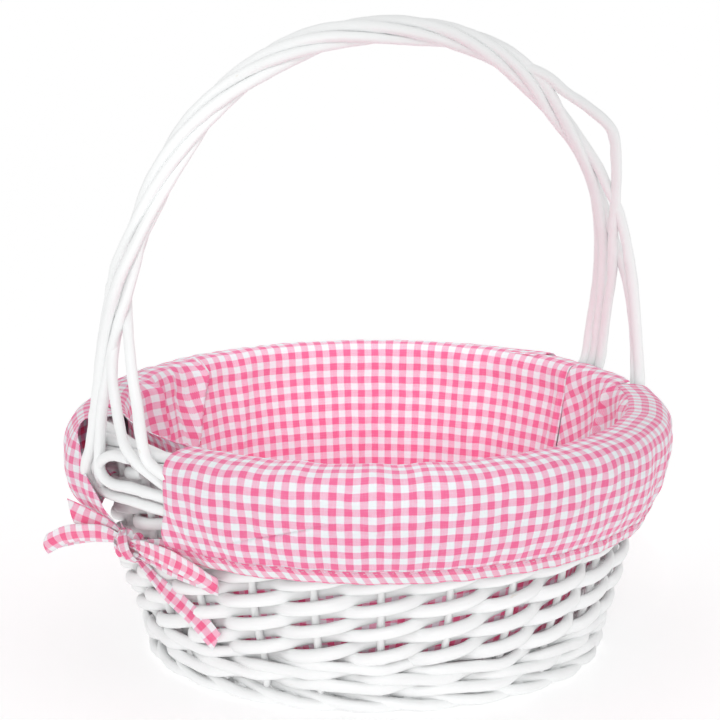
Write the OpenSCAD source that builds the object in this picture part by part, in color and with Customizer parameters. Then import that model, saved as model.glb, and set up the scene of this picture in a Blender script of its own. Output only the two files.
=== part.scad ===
// Round willow picnic basket with a fixed roped handle and a tied cloth liner that turns over the rim.
// Millimetres, +Z up. The origin is on the ground under the centre. The handle stands in the XZ plane.

/* [Body] */
// Radius of the circle of upright stakes at the foot
stake_r_low = 113; // [105:0.5:120]
// Radius of the circle of stakes where the steeper lower flare ends
stake_r_mid = 124; // [110:0.1:126]
// Radius of the circle of stakes behind the cuff's lower edge
stake_r_cuff = 127.5; // [120:0.1:132]
// Radius of the circle of stakes under the rim border
stake_r_high = 134.6; // [125:0.1:145]
// Height where the wall starts to flare
flare_z = 21; // [15:1:28]
// Height where the lower flare ends
flare_mid_z = 50; // [35:1:60]
// Height where the wall starts to lean out again, behind the cuff
flare_cuff_z = 80; // [70:1:90]
// Height of the stake tops
stake_top = 111.6; // [100:0.1:125]
// Height of the stake bottoms
stake_bottom = 7.6; // [5:0.1:12]
// Radius of a stake
stake_rod = 2; // [1.5:0.1:2.5]

/* [Side weave] */
// Radius of a siding rod at its thick end
rand_rod = 2.6; // [2:0.05:2.8]
// Radius of a siding rod at its thin end
rand_tip = 2.3; // [1.8:0.05:2.6]
// How far a siding rod stands in or out from the stake circle
rand_swing = 5.3; // [4.8:0.1:6]
// Rise of a siding rod from one stake to the next
rand_rise = 6.1; // [5.4:0.05:7]
// Height of the siding rods' thick ends
rand_z = 27.5; // [27:0.1:32]
// Stake spaces that each siding rod runs across
rand_spaces = 13; // [10:1:14]
// Angle before and after each stake where a siding rod lies flat
rand_flat = 3; // [2:0.5:4]

/* [Upsett wale] */
// Radius of a waling rod
wale_rod = 2.25; // [1.8:0.05:2.4]
// How far a waling rod stands in or out from the stake circle
wale_swing = 4.9; // [4.6:0.1:5.5]
// Height of the start of the waling
wale_z = 10.45; // [9:0.05:12]
// Rise of one full round of three-rod waling
wale_round = 10.5; // [10:0.1:12]
// Stake spaces that each waling rod runs across
wale_spaces = 27; // [24:3:33]

/* [Foot border] */
// Radius of a foot border rod
foot_rod = 1.8; // [1.4:0.05:2]
// Height of the middle of the foot border
foot_z = 3.4; // [3:0.1:4]
// Half width of the foot border's twist
foot_swing = 3; // [2.5:0.1:4]
// Half height of the foot border's twist
foot_lift = 2; // [1.8:0.1:2.4]

/* [Rim border] */
// Radius of a rim border rod
border_rod = 2.8; // [2.2:0.05:3]
// Radius of the rim border's centre circle
border_r = 140.2; // [130:0.1:150]
// Height of the rim border's centre
border_z = 119.4; // [110:0.1:130]
// Radius of the rim border's twist
border_twist = 4.3; // [4.2:0.05:5]

/* [Base] */
// Radius of a base stick
base_stick = 2.9; // [2:0.1:3]
// Spacing of the three sticks of a group in the middle of the base
base_gap = 7.5; // [6.5:0.1:9]
// Height of the middle of the base
base_z = 15.8; // [14:0.1:17]
// Radius that the base sticks reach
base_reach = 104.6; // [95:0.1:105]
// Radius of a base weaving rod
base_weaver = 2.2; // [1.8:0.1:2.4]
// Radius of the first base round
base_first = 44; // [40:1:50]
// Rounds of base weave
base_rounds = 12; // [8:1:12]

/* [Handle] */
// Half span of the handle's centreline at the rim
handle_span = 150; // [145:0.5:155]
// Height where the arch starts
handle_low = 131; // [128:0.5:140]
// Height of the top of the handle's centreline
handle_top = 318; // [280:1:340]
// Squareness of the arch, where 2 is an ellipse
handle_square = 2.3; // [2:0.05:3]
// Radius of a handle rod
handle_rod = 2.55; // [2:0.05:2.8]
// Distance of the five rods from the handle's centreline
handle_twist = 4.7; // [4.5:0.05:5.5]
// Full turns that the rods make along the handle
handle_turns = 3; // [2:1:4]

/* [Liner] */
// Thickness of the cloth
cloth = 0.8; // [0.5:0.1:1.2]
// Height of the top of the turned-over cuff
cuff_top = 128; // [126:0.1:132]
// Height of the cuff's lower edge
cuff_bottom = 73; // [60:1:90]
// Widest radius of the cuff
cuff_r = 152; // [150:0.5:156]
// Half angle of the opening in the cuff at each handle foot
cuff_slit = 12.5; // [11:0.5:20]
// Angle of the liner's side seams past each handle foot
seam_turn = 3.8; // [0:0.1:20]
// Width of a tie ribbon
ribbon = 8.5; // [5:0.5:10]
// Height of the bows' knots
knot_z = 72; // [60:1:90]

/* [Hidden] */
stake_count = 24;
step = 360 / stake_count;
sides = 6;
liner_gap = 8.4;
floor_z = base_z + base_stick + 2 * base_weaver + 0.8;
floor_r = stake_r_low - wale_swing - wale_rod - 0.5;
top_r = stake_r_high - liner_gap;
arch_steps = 40;
arch_end = 16;
wall_foot = 10.9;
$fn = 96;

// ---- helpers ----

function unit(v) = v / norm(v);

function at(r, a, z) = [r * cos(a), r * sin(a), z];

// Radius of the circle of stakes at a height.
function wall_r(z) = lookup(z, [
    [flare_z, stake_r_low], [flare_mid_z, stake_r_mid], [flare_cuff_z, stake_r_cuff],
    [stake_top, stake_r_high]
]);

function tangents(p) = let (n = len(p)) [
    for (i = [0 : n - 1])
        i == 0 ? unit(p[1] - p[0])
        : i == n - 1 ? unit(p[i] - p[i - 1])
        : unit(unit(p[i + 1] - p[i]) + unit(p[i] - p[i - 1]))
];

function square_to(v, t) = unit(v - (v * t) * t);

// Frames that don't spin about the path.
function frames(t) = [
    for (i = 0, f = square_to(abs(t[0][2]) < 0.8 ? [0, 0, 1] : [1, 0, 0], t[0]);
        i < len(t);
        i = i + 1, f = i < len(t) ? square_to(f, t[i]) : f) f
];

// A rod of six sides along a path, from radius r0 at the first point to r1 at the last.
module rod(p, r0, r1) {
    m = len(p);
    t = tangents(p);
    f = frames(t);
    points = [
        for (i = [0 : m - 1])
            let (b = cross(t[i], f[i]), r = r0 + (r1 - r0) * i / (m - 1))
            for (a = [0 : sides - 1])
                p[i] + r * (cos(360 * a / sides) * f[i] + sin(360 * a / sides) * b)
    ];
    skin = [
        for (i = [0 : m - 2], a = [0 : sides - 1])
            let (c = i * sides + a, d = i * sides + (a + 1) % sides)
            for (k = [0, 1])
                k == 0 ? [c, c + sides, d + sides] : [c, d + sides, d]
    ];
    caps = [
        [for (a = [0 : sides - 1]) a],
        [for (a = [0 : sides - 1]) m * sides - 1 - a]
    ];
    polyhedron(points, concat(skin, caps));
}

// ---- wicker ----

module siding_rod(k) {
    path = [
        for (i = [0 : rand_spaces], d = [-rand_flat, rand_flat])
            let (
                a = step * i + d,
                z = rand_z + rand_rise * max(0, a / step),
                r = wall_r(z) + (i % 2 == 0 ? -rand_swing : rand_swing)
            )
            at(r, a, z)
    ];
    rotate([0, 0, step * k])
        rod(path, rand_rod, rand_tip);
}

// Three-rod waling: in front of two stakes and behind one.
module waling_rod(k) {
    lift = wale_round / 12;
    path = [
        for (h = [0 : 2 * wale_spaces])
            let (
                i = floor(h / 2),
                turn = (i + 2) % 3,
                between = h % 2 == 1,
                z = wale_z + wale_round * h / (2 * stake_count),
                out = between ? [1, 0, 0][turn] : [1, 1, -1][turn],
                dz = between ? [0, lift, -lift][turn] : [lift, -lift, 0][turn]
            )
            at(wall_r(z) + out * wale_swing, step * h / 2, z + dz)
    ];
    rotate([0, 0, -120 * k])
        rod(path, wale_rod, wale_rod);
}

module upright_stakes() {
    heights = [stake_bottom, flare_z, flare_mid_z, flare_cuff_z, stake_top];
    for (k = [0 : stake_count - 1])
        rotate([0, 0, step * k])
            rod([for (z = heights) [wall_r(z), 0, z]], stake_rod, stake_rod);
}

// Short rods that each make one turn about the border's centre circle.
function twisted(r, z, dr, dz, span, parts, first, way) = [
    for (i = [0 : parts])
        let (
            a = i == 0 ? 0.6 : i == parts ? span - 0.6 : span * i / parts,
            ph = first + way * 360 * a / span
        )
        at(r + dr * cos(ph), a, z + dz * sin(ph))
];

module rim_border() {
    for (k = [0 : stake_count - 1])
        rotate([0, 0, step * k])
            rod(twisted(border_r, border_z, border_twist, border_twist, 4 * step, 12, -90, 1),
                border_rod, border_rod);
}

module foot_border() {
    path = twisted(stake_r_low, foot_z, foot_swing, foot_lift, 2 * step, 8, 90, -1);
    for (k = [0 : stake_count - 1])
        rotate([0, 0, step * k])
            intersection() {
                rod(path, foot_rod, foot_rod);
                translate([stake_r_low - 40, -10, 0])
                    cube([60, 90, 20]);
            }
}

// Three sticks side by side in the middle that fan out into six spokes.
module base_sticks(turn, dz) {
    for (k = [-1, 0, 1]) {
        o = base_gap * k;
        path = [
            at(base_reach, 180 - 30 * k, base_z),
            at(40, 180 - 30 * k, base_z),
            [-16, o, base_z + dz],
            [16, o, base_z + dz],
            at(40, 30 * k, base_z),
            at(base_reach, 30 * k, base_z)
        ];
        rotate([0, 0, turn])
            rod(path, base_stick, base_stick);
    }
}

module base_weave(dz) {
    for (k = [0 : base_rounds - 1])
        translate([0, 0, base_z + dz])
            rotate_extrude()
                translate([base_first + 5 * k, 0])
                    circle(r = base_weaver, $fn = 24);
}

// ---- handle ----

// The arch's centreline from its left end to its right end.
function arch(n) = [
    for (i = [0 : n])
        let (a = 180 - arch_end - (180 - 2 * arch_end) * i / n, e = 2 / handle_square)
        [handle_span * sign(cos(a)) * pow(abs(cos(a)), e), 0,
            handle_low + (handle_top - handle_low) * pow(sin(a), e)]
];

// How one rod runs up from where it ends in the basket's wall to the left end of the arch.
// Each stands outside the border at its own place y, bends at its own height low and lies along
// the wall, towards the front (way -1) or the back (way 1).
function left_leg(turn) = let (
    t = (turn + 720) % 360,
    k = round(t / 72),
    y = [8, 26, 17, -17, -28][k],
    low = [96, 100, 90, 102, 108][k],
    way = [-1, 1, -1, -1, -1][k],
    out = [151.6, 151.8, 150.6, 150.6, 151.6][k]
) [
    beside(wall_r(low - 5) + wall_foot, y + way * 30, low - 5),
    beside(wall_r(low - 2) + wall_foot, y + way * 14, low - 2),
    beside(wall_r(low) + wall_foot + 0.4, y + way * 5, low),
    beside(wall_r(low + 5) + wall_foot + 0.8, y + way, min(low + 5, 108.4)),
    beside(148, y, 112.6), beside(150.6, y, 116.5), beside(out, y, 122), beside(out, y, 134)
];

// The point at radius r and height z that lies y from the handle's plane, at the left foot.
function beside(r, y, z) = [-sqrt(r * r - y * y), y, z];

function turned(p) = [for (q = p) [-q[0], -q[1], q[2]]];

function backwards(p) = [for (i = [len(p) - 1 : -1 : 0]) p[i]];

module handle_strand(k) {
    c = arch(arch_steps);
    t = tangents(c);
    first = 72 * k;
    path = [
        for (i = [0 : arch_steps])
            let (
                ph = first - 360 * handle_turns * i / arch_steps,
                n = unit(cross(t[i], [0, 1, 0]))
            )
            c[i] + handle_twist * (cos(ph) * n + [0, sin(ph), 0])
    ];
    rod(concat(left_leg(first), path, backwards(turned(left_leg(-first)))), handle_rod, handle_rod);
}

// ---- liner ----

module part_ring(from, to) {
    rotate([0, 0, from])
        rotate_extrude(angle = to - from)
            children();
}

module wall_shape() {
    mid = stake_r_mid - liner_gap;
    low = stake_r_cuff - liner_gap;
    polygon([
        [floor_r, floor_z + cloth + 0.2], [floor_r, 28], [floor_r + 2.4, 31], [mid, flare_mid_z],
        [low, flare_cuff_z], [top_r, stake_top], [top_r, cuff_top - cloth - 0.3],
        [top_r - cloth, cuff_top - cloth - 0.3], [top_r - cloth, stake_top],
        [low - cloth, flare_cuff_z], [mid - cloth, flare_mid_z], [floor_r + 2.4 - cloth, 31],
        [floor_r - cloth, 28], [floor_r - cloth, floor_z + cloth + 0.2]
    ]);
}

module cuff_shape() {
    low = cuff_bottom;
    r = cuff_r;
    polygon([
        [top_r - cloth, cuff_top], [r - 4.5, cuff_top], [r - 1, cuff_top - 4], [r, cuff_top - 10],
        [r - 2.2, low + 26], [r - 11, low + 7], [r - 13.8, low], [r - 14.7, low],
        [r - 11.9, low + 7], [r - 3.1, low + 26], [r - 0.9, cuff_top - 10],
        [r - 1.8, cuff_top - 3.8], [r - 4.9, cuff_top - cloth], [top_r - cloth, cuff_top - cloth]
    ]);
}

module hem_shape() {
    low = cuff_bottom;
    r = cuff_r;
    polygon([
        [r - 13.3, low + 0.4], [r - 10.5, low + 7.2], [r - 9.8, low + 7], [r - 12.6, low + 0.2]
    ]);
}

// A flat loop of ribbon, seen from above, that reaches len along Y from the origin.
module ribbon_loop(len) {
    gap = 6;
    difference() {
        hull()
            for (y = [gap / 2 + cloth, len - gap / 2 - cloth])
                translate([0, y, -ribbon / 2])
                    cylinder(d = gap + 2 * cloth, h = ribbon, $fn = 48);
        hull()
            for (y = [gap / 2 + cloth, len - gap / 2 - cloth])
                translate([0, y, -ribbon])
                    cylinder(d = gap, h = 2 * ribbon, $fn = 48);
    }
}

// One tie: a strap from the cuff's corner, its half of the knot, a loop and a tail.
// On the side where side is 1 the loop follows the wall and the tail hangs along it.
// On the other side the loop and a short tail stand out from the wall.
module tie(side) {
    spread = side > 0 ? 10 : -22;
    tail = side > 0 ? [26, -128, 60] : [-24.5, -78, 38];
    mirror([0, side < 0 ? 1 : 0, 0]) {
        rotate([0, 0, 0.6])
            rotate_extrude(angle = cuff_slit - 1)
                translate([138, knot_z - ribbon / 2])
                    square([cloth, ribbon]);
        translate([141.5, 0.05, knot_z])
            rotate([-90, 0, 0])
                cylinder(r = 4.5, h = 5, $fn = 48);
        translate([144.5, 2.6, knot_z])
            rotate([0, 0, spread])
                ribbon_loop(58);
        translate([142, 4.6, knot_z - (side > 0 ? 2 : -3)])
            rotate([0, 0, tail[0]])
                rotate([tail[1], 0, 0])
                    translate([0, -ribbon / 2, 0])
                        cube([cloth, ribbon, tail[2]]);
    }
}

module base_sticks_lower() { color("Linen") base_sticks(7.5, -3.1); }
module base_sticks_upper() { color("Linen") base_sticks(97.5, 3.1); }
module base_weave_lower() { color("WhiteSmoke") base_weave(-base_stick - base_weaver - 0.3); }
module base_weave_upper() { color("WhiteSmoke") base_weave(base_stick + base_weaver + 0.3); }
module foot_rods() { color("WhiteSmoke") foot_border(); }
module stakes() { color("Linen") upright_stakes(); }
module wale_rod_1() { color("WhiteSmoke") waling_rod(0); }
module wale_rod_2() { color("WhiteSmoke") waling_rod(1); }
module wale_rod_3() { color("WhiteSmoke") waling_rod(2); }
module rand_rod_01() { color("White") siding_rod(0); }
module rand_rod_02() { color("White") siding_rod(1); }
module rand_rod_03() { color("White") siding_rod(2); }
module rand_rod_04() { color("White") siding_rod(3); }
module rand_rod_05() { color("White") siding_rod(4); }
module rand_rod_06() { color("White") siding_rod(5); }
module rand_rod_07() { color("White") siding_rod(6); }
module rand_rod_08() { color("White") siding_rod(7); }
module rand_rod_09() { color("White") siding_rod(8); }
module rand_rod_10() { color("White") siding_rod(9); }
module rand_rod_11() { color("White") siding_rod(10); }
module rand_rod_12() { color("White") siding_rod(11); }
module rand_rod_13() { color("White") siding_rod(12); }
module rand_rod_14() { color("White") siding_rod(13); }
module rand_rod_15() { color("White") siding_rod(14); }
module rand_rod_16() { color("White") siding_rod(15); }
module rand_rod_17() { color("White") siding_rod(16); }
module rand_rod_18() { color("White") siding_rod(17); }
module rand_rod_19() { color("White") siding_rod(18); }
module rand_rod_20() { color("White") siding_rod(19); }
module rand_rod_21() { color("White") siding_rod(20); }
module rand_rod_22() { color("White") siding_rod(21); }
module rand_rod_23() { color("White") siding_rod(22); }
module rand_rod_24() { color("White") siding_rod(23); }
module border_rods() { color("White") rim_border(); }
module handle_rod_1() { color("White") handle_strand(0); }
module handle_rod_2() { color("White") handle_strand(1); }
module handle_rod_3() { color("White") handle_strand(2); }
module handle_rod_4() { color("White") handle_strand(3); }
module handle_rod_5() { color("White") handle_strand(4); }
module liner_floor() { color("Pink") translate([0, 0, floor_z]) cylinder(r = floor_r, h = cloth); }
module liner_wall_front() { color("Pink") part_ring(180.05 + seam_turn, 359.95 + seam_turn) wall_shape(); }
module liner_wall_back() { color("Pink") part_ring(0.05 + seam_turn, 179.95 + seam_turn) wall_shape(); }
module cuff_front() { color("Pink") part_ring(180 + cuff_slit, 360 - cuff_slit) cuff_shape(); }
module cuff_back() { color("Pink") part_ring(cuff_slit, 180 - cuff_slit) cuff_shape(); }
module hem_front() { color("HotPink") part_ring(180 + cuff_slit, 360 - cuff_slit) hem_shape(); }
module hem_back() { color("HotPink") part_ring(cuff_slit, 180 - cuff_slit) hem_shape(); }
module tie_right_front() { color("HotPink") tie(-1); }
module tie_right_back() { color("HotPink") tie(1); }
module tie_left_front() { color("HotPink") rotate([0, 0, 180]) tie(1); }
module tie_left_back() { color("HotPink") rotate([0, 0, 180]) tie(-1); }

base_sticks_lower();
base_sticks_upper();
base_weave_lower();
base_weave_upper();
foot_rods();
stakes();
wale_rod_1();
wale_rod_2();
wale_rod_3();
rand_rod_01();
rand_rod_02();
rand_rod_03();
rand_rod_04();
rand_rod_05();
rand_rod_06();
rand_rod_07();
rand_rod_08();
rand_rod_09();
rand_rod_10();
rand_rod_11();
rand_rod_12();
rand_rod_13();
rand_rod_14();
rand_rod_15();
rand_rod_16();
rand_rod_17();
rand_rod_18();
rand_rod_19();
rand_rod_20();
rand_rod_21();
rand_rod_22();
rand_rod_23();
rand_rod_24();
border_rods();
handle_rod_1();
handle_rod_2();
handle_rod_3();
handle_rod_4();
handle_rod_5();
liner_floor();
liner_wall_front();
liner_wall_back();
cuff_front();
cuff_back();
hem_front();
hem_back();
tie_left_front();
tie_left_back();
tie_right_front();
tie_right_back();
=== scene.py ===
"""Wicker picnic basket: painted willow rods, a roped handle and a tied gingham liner.

Shapes are written in millimetres in the CAD frame and turned into metres when a mesh is made.
Angles are in degrees round +Z, and 0 is the handle's right foot.
"""

import math

import bpy
import numpy as np
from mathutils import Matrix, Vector


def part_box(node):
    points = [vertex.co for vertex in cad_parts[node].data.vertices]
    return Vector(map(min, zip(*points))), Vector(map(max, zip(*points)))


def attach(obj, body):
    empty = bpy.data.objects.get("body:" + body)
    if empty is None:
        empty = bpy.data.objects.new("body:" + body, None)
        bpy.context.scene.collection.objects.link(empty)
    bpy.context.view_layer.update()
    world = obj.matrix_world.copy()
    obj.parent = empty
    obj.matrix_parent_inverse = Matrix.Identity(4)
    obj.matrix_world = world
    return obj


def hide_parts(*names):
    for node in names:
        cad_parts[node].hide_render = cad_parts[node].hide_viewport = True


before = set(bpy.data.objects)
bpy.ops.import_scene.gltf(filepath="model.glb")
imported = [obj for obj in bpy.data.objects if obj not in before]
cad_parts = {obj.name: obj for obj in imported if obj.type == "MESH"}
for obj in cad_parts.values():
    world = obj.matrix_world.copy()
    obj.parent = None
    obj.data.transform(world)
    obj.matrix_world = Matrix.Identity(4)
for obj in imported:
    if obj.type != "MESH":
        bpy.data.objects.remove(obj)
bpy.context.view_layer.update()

MM = 0.001
STAKES = 24
STEP = 360 / STAKES


def box_mm(node):
    """A CAD node's lowest and highest corner, in millimetres."""
    low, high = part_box(node)
    return np.array(low) / MM, np.array(high) / MM


# ---- sizes that the CAD gives ----

BORDER_LOW, BORDER_HIGH = box_mm("border_rods")
STAKE_LOW, STAKE_HIGH = box_mm("stakes")
FLOOR_HIGH = box_mm("liner_floor")[1]
FLOOR_R, FLOOR_TOP = FLOOR_HIGH[0], FLOOR_HIGH[2]

BORDER_Z = (BORDER_LOW[2] + BORDER_HIGH[2]) / 2
BORDER_ROD = 2.85
BORDER_TWIST = (BORDER_HIGH[2] - BORDER_LOW[2]) / 2 - BORDER_ROD
BORDER_R = BORDER_HIGH[0] - BORDER_TWIST - BORDER_ROD

# ---- sizes of the visual pieces ----
# A _ROD, _BUTT or _TIP is a radius. A _FLAT is how much taller and thinner than round a rod is.

STAKE_ROD = 1.9
WALL_Z = [0, 15, 22, 30, 37, 50, 60, 80, 111.6, 116, 130]
WALL_R = [112.5, 113.2, 114.6, 117.2, 119.6, 123.4, 125.4, 128, 134.6, 135.6, 136]
LEFT_BULGE = 3.2
BULGE_AT, BULGE_TURN, BULGE_Z, BULGE_HEIGHT = 160, 48, 56, 24
RAND_BUTT, RAND_TIP, RAND_FLAT = 2.85, 2.45, (1.24, 0.94)
RAND_SWING, RAND_RISE, RAND_Z, RAND_SPACES = 5.2, 6.5, 24.4, 13
WALE_ROD, WALE_FLAT = 2.4, (1.3, 0.98)
WALE_SWING, WALE_Z, WALE_ROUND, WALE_SPACES = 4.9, 10.45, 10.5, 33
FOOT_ROD, FOOT_FLAT, FOOT_TURN = 2.6, (1.12, 0.95), 40
PEG_ROD, WRAP_ROD = 1.9, 2.6
BASE_ROD, BASE_GAP, BASE_REACH, BASE_Z, BASE_CROSS = 2.9, 7.5, 104.6, 15.8, 3.1
PAIR_ROD, PAIR_ROUNDS, PAIR_FIRST, PAIR_PITCH, PAIR_SWING = 2.2, 10, 44, 5.9, 4.9
BUD_LENGTH, BUD_HEIGHT = 2.2, 0.16
LINER_GAP = 8.7
CLOTH = 0.5
CHECK = 7.5
THREAD = 0.31
WANDER = 0.0009
HEM, PUCKER = 7.7, 2.8
STITCH_ROD, STITCH_OUT, STITCH_BELOW = 0.13, 0.72, 1.1
RIBBON = 9.0
CUFF_RADIUS_FOR_CHECKS = 150
WALL_RADIUS_FOR_CHECKS = 122


def hump(away, width):
    """1 in the middle, and near 0 at twice the width away."""
    return np.exp(-((away / width) ** 2))


def wall_r(z, degrees):
    """Radius of the circle of stakes. The wall bulges a little under the handle's left foot."""
    away = (np.asarray(degrees) - BULGE_AT + 180) % 360 - 180
    bulge = hump(away, BULGE_TURN) * hump(z - BULGE_Z, BULGE_HEIGHT)
    return np.interp(z, WALL_Z, WALL_R) + LEFT_BULGE * bulge


def ring_point(r, degrees, z):
    """A point at a radius, an angle and a height."""
    a = np.radians(degrees)
    return np.stack(np.broadcast_arrays(r * np.cos(a), r * np.sin(a), z), axis=-1)


def unit(v):
    return v / np.maximum(np.linalg.norm(v, axis=-1, keepdims=True), 1e-9)


def spline(points, per=8):
    """A smooth line through the points."""
    p = np.array(points, float)
    q = np.vstack([2 * p[0] - p[1], p, 2 * p[-1] - p[-2]])
    t = np.linspace(0, 1, per, endpoint=False)[:, None]
    out = []
    for i in range(1, len(q) - 2):
        a, b, c, d = q[i - 1 : i + 3]
        cubic = (3 * b - a - 3 * c + d) * t**3
        out.append(0.5 * (2 * b + (c - a) * t + (2 * a - 5 * b + 4 * c - d) * t * t + cubic))
    return np.vstack(out + [p[-1:]])


def even(path, gap):
    """The same line with points at an even spacing of about gap."""
    path = np.array(path, float)
    s = np.concatenate([[0], np.cumsum(np.linalg.norm(np.diff(path, axis=0), axis=1))])
    at = np.linspace(0, s[-1], max(4, int(s[-1] / gap)))
    return np.stack([np.interp(at, s, path[:, i]) for i in range(path.shape[1])], axis=1)


def frames(path):
    """Tangents, and two normals that don't spin about the path."""
    t = unit(np.gradient(path, axis=0))
    n = np.zeros_like(t)
    first = np.array([0, 0, 1.0]) if abs(t[0][2]) < 0.8 else np.array([1.0, 0, 0])
    n[0] = unit(first - first.dot(t[0]) * t[0])
    for i in range(1, len(t)):
        n[i] = unit(n[i - 1] - n[i - 1].dot(t[i]) * t[i])
    return t, n, np.cross(t, n)


# ---- meshes ----

rod_count = 0


def tube(path, r0, r1=None, sides=12, lump=0.03, oval=0.05, buds=90, flat=None):
    """The skin of one willow rod along a path: its vertices, faces, grain coordinates, caps."""
    global rod_count
    rod_count += 1
    rng = np.random.default_rng(1000 + rod_count)
    path = np.array(path, float)
    t, f, b = frames(path)
    if flat:
        f = unit(np.array([0, 0, 1.0]) - t[:, 2:] * t) * flat[0]
        b = unit(np.cross(t, f)) * flat[1]
    n = len(path)
    s = np.concatenate([[0], np.cumsum(np.linalg.norm(np.diff(path, axis=0), axis=1))])
    r = np.linspace(r0, r0 if r1 is None else r1, n)
    for wave in (13, 29, 61):
        r = r * (1 + lump / 2 * np.sin(2 * np.pi * s / wave + rng.uniform(0, 6.28)))
    angle = 2 * np.pi * np.arange(sides) / sides
    turn = rng.uniform(0, 6.28) + s / 70
    shape = r[:, None] * (1 + oval * np.cos(2 * (angle[None] - turn[:, None])))
    at = rng.uniform(0.2, 0.8) * buds
    while at < s[-1]:
        side = rng.uniform(0, 6.28)
        lift = hump(s - at, BUD_LENGTH)[:, None] * np.maximum(0, np.cos(angle - side)) ** 3
        shape = shape * (1 + BUD_HEIGHT * lift)
        at += rng.uniform(0.6, 1.4) * buds
    shape[0] *= 0.8
    shape[-1] *= 0.8
    ring = np.cos(angle)[None, :, None] * f[:, None] + np.sin(angle)[None, :, None] * b[:, None]
    verts = path[:, None] + shape[:, :, None] * ring
    along = np.broadcast_to((s + 997.0 * rod_count)[:, None], shape.shape)
    grain = np.stack([along, shape * np.cos(angle), shape * np.sin(angle)], axis=-1)
    i, k = np.meshgrid(np.arange(n - 1), np.arange(sides), indexing="ij")
    a, c = i * sides + k, i * sides + (k + 1) % sides
    faces = np.stack([a, c, c + sides, a + sides], axis=-1).reshape(-1, 4).tolist()
    caps = [list(range(sides))[::-1], [(n - 1) * sides + j for j in range(sides)]]
    return verts.reshape(-1, 3), faces, grain.reshape(-1, 3), caps


def finish_piece(obj, material, nodes):
    """Gives the piece its material, hangs it under the root body and hides the CAD nodes that it stands for.
    """
    obj.data.materials.append(material)
    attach(obj, "root")
    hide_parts(*nodes)
    return obj


def new_object(name, verts, faces, smooth):
    mesh = bpy.data.meshes.new(name)
    mesh.from_pydata((np.array(verts) * MM).tolist(), [], faces)
    mesh.polygons.foreach_set("use_smooth", smooth)
    mesh.update()
    obj = bpy.data.objects.new(name, mesh)
    bpy.context.scene.collection.objects.link(obj)
    return obj


def rods(name, parts, material, nodes=None):
    """One object from several tubes, with the grain coordinates that its material reads."""
    verts, faces, smooth, grain, base = [], [], [], [], 0
    for v, f, g, caps in parts:
        verts.append(v)
        grain.append(g)
        faces += [[c + base for c in face] for face in f + caps]
        smooth += [True] * len(f) + [False] * len(caps)
        base += len(v)
    obj = new_object(name, np.vstack(verts), faces, smooth)
    layer = obj.data.attributes.new("grain", "FLOAT_VECTOR", "POINT")
    layer.data.foreach_set("vector", (np.vstack(grain) * MM).ravel())
    return finish_piece(obj, material, nodes or [name])


def skin(points, uv, thick):
    """Both faces and the edges of a strip of cloth, from a grid of points and their cloth places."""
    du, dv = np.gradient(points, axis=0), np.gradient(points, axis=1)
    normal = unit(np.cross(du, dv))
    rows, cols = points.shape[:2]
    half = np.full((rows, cols, 1), thick / 2)
    verts = np.vstack([(points + side * half * normal).reshape(-1, 3) for side in (1, -1)])
    count = rows * cols
    i, k = np.meshgrid(np.arange(rows - 1), np.arange(cols - 1), indexing="ij")
    a = (i * cols + k).ravel()
    top = np.stack([a, a + cols, a + cols + 1, a + 1], axis=1)
    under = top[:, ::-1] + count
    rim = [r * cols for r in range(rows)]
    rim += [(rows - 1) * cols + c for c in range(1, cols)]
    rim += [r * cols + cols - 1 for r in range(rows - 2, -1, -1)]
    rim += [c for c in range(cols - 2, 0, -1)]
    edge = [[p, p + count, q + count, q] for p, q in zip(rim, rim[1:] + rim[:1])]
    return verts, top.tolist() + under.tolist() + edge, np.vstack([uv.reshape(-1, 2)] * 2)


def cloth(name, parts, material, nodes):
    """One object from several strips of cloth, with the UV map "cloth" in metres."""
    verts, faces, uvs, base = [], [], [], 0
    for v, f, uv in parts:
        verts.append(v)
        uvs.append(uv)
        faces += [[c + base for c in face] for face in f]
        base += len(v)
    obj = new_object(name, np.vstack(verts), faces, [True] * len(faces))
    corner = np.zeros(len(obj.data.loops), int)
    obj.data.loops.foreach_get("vertex_index", corner)
    layer = obj.data.uv_layers.new(name="cloth")
    layer.data.foreach_set("uv", (np.vstack(uvs) * MM)[corner].ravel())
    return finish_piece(obj, material, nodes)


# ---- materials ----


class Graph:
    """Short names for building a shader."""

    def __init__(self, name):
        self.material = bpy.data.materials.new(name)
        self.material.use_nodes = True
        self.nodes = self.material.node_tree.nodes
        self.links = self.material.node_tree.links
        self.shader = self.nodes["Principled BSDF"]

    def put(self, socket, value):
        if hasattr(value, "is_output"):
            self.links.new(value, socket)
        else:
            socket.default_value = value

    def new(self, kind, out=0, settings=None, **inputs):
        node = self.nodes.new(kind)
        for key, value in (settings or {}).items():
            setattr(node, key, value)
        for key, value in inputs.items():
            self.put(node.inputs[key.replace("_", " ")], value)
        return node.outputs[out]

    def math(self, operation, a, b=0.0, c=0.0, clamp=False):
        node = self.nodes.new("ShaderNodeMath")
        node.operation, node.use_clamp = operation, clamp
        for socket, value in zip(node.inputs, (a, b, c)):
            self.put(socket, value)
        return node.outputs[0]

    def vector_math(self, operation, *values):
        node = self.nodes.new("ShaderNodeVectorMath")
        node.operation = operation
        for socket, value in zip(node.inputs, values):
            self.put(socket, value)
        return node.outputs[0]

    def noise(self, vector, scale, detail=2.0, roughness=0.5):
        return self.new(
            "ShaderNodeTexNoise", Vector=vector, Scale=scale, Detail=detail, Roughness=roughness
        )

    def mix(self, factor, a, b):
        node = self.nodes.new("ShaderNodeMix")
        node.data_type = "RGBA"
        self.put(node.inputs[0], factor)
        self.put(node.inputs[6], a)
        self.put(node.inputs[7], b)
        return node.outputs[2]

    def stretch(self, vector, scale):
        return self.new("ShaderNodeMapping", Vector=vector, Scale=scale)


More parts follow.
